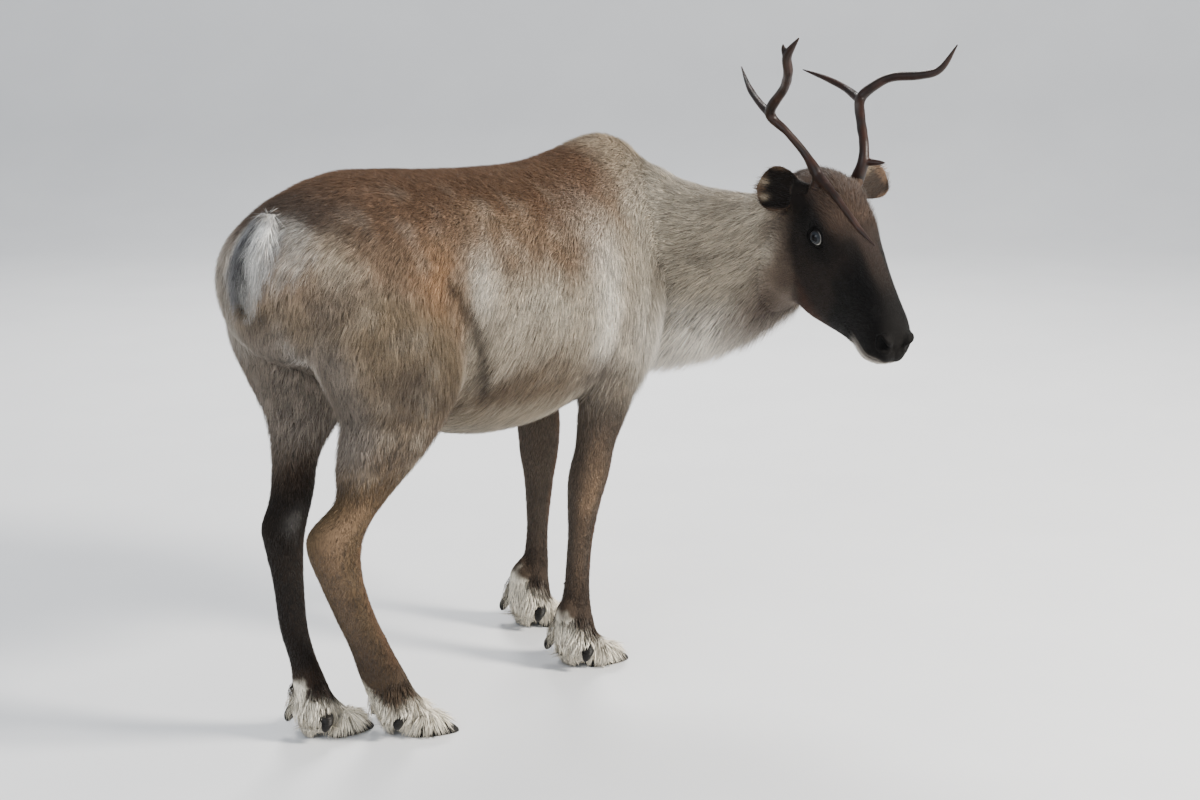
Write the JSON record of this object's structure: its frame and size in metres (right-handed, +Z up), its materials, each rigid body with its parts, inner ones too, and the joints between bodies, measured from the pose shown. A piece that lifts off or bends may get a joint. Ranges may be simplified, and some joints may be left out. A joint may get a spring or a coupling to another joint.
{
  "type": "reindeer standing with its head turned",
  "caption": "A still life-size reindeer standing square, its head turned back to its right and lowered, with small dark antlers, a pale throat mane and white tufted feet.",
  "frame": {"origin": "middle of the plan on the floor", "axes": "+X runs along the body from rump to chest, +Y to the left of the body, +Z up"},
  "size_m": [1.2958, 0.8454, 1.1955],
  "materials": {
    "body_coat": "dense short coat, warm brown on the back and cream on the flank",
    "neck_coat": "greyish cream coat with a long off-white throat mane",
    "head_coat": "short dark red-brown to black face coat",
    "tail_coat": "long white hair with a dark grey stripe down the middle",
    "ear_coat": "short fuzzy brown coat",
    "upper_leg_coat": "brown coat, darker down the leg",
    "leg_coat": "short dark brown leg coat",
    "foot_coat": "long creamy white tufts over the hoof",
    "eye": "wet dark eye",
    "antler": "bare dark red-brown antler with a slight sheen",
    "hoof": "black horn with a slight sheen"
  },
  "bodies": {
    "root": {"torso": "body_coat", "neck": "neck_coat", "head": "head_coat", "tail": "tail_coat", "ear_left": "ear_coat", "ear_right": "ear_coat", "eye_left": "eye", "eye_right": "eye", "antler_left_beam": "antler", "antler_left_rear_tine": "antler", "antler_left_main": "antler", "antler_left_brow_tine": "antler", "antler_right_beam": "antler", "antler_right_rear_tine": "antler", "antler_right_main": "antler", "antler_right_top_tine": "antler", "antler_right_brow_tine": "antler", "hind_right_upper_leg": "upper_leg_coat", "hind_right_lower_leg": "leg_coat", "hind_right_foot": "foot_coat", "hind_right_claw_left": "hoof", "hind_right_dewclaw_left": "hoof", "hind_right_claw_right": "hoof", "hind_right_dewclaw_right": "hoof", "hind_left_upper_leg": "upper_leg_coat", "hind_left_lower_leg": "leg_coat", "hind_left_foot": "foot_coat", "hind_left_claw_left": "hoof", "hind_left_dewclaw_left": "hoof", "hind_left_claw_right": "hoof", "hind_left_dewclaw_right": "hoof", "fore_right_upper_leg": "upper_leg_coat", "fore_right_lower_leg": "leg_coat", "fore_right_foot": "foot_coat", "fore_right_claw_left": "hoof", "fore_right_dewclaw_left": "hoof", "fore_right_claw_right": "hoof", "fore_right_dewclaw_right": "hoof", "fore_left_upper_leg": "upper_leg_coat", "fore_left_lower_leg": "leg_coat", "fore_left_foot": "foot_coat", "fore_left_claw_left": "hoof", "fore_left_dewclaw_left": "hoof", "fore_left_claw_right": "hoof", "fore_left_dewclaw_right": "hoof"}
  },
  "joints": []
}
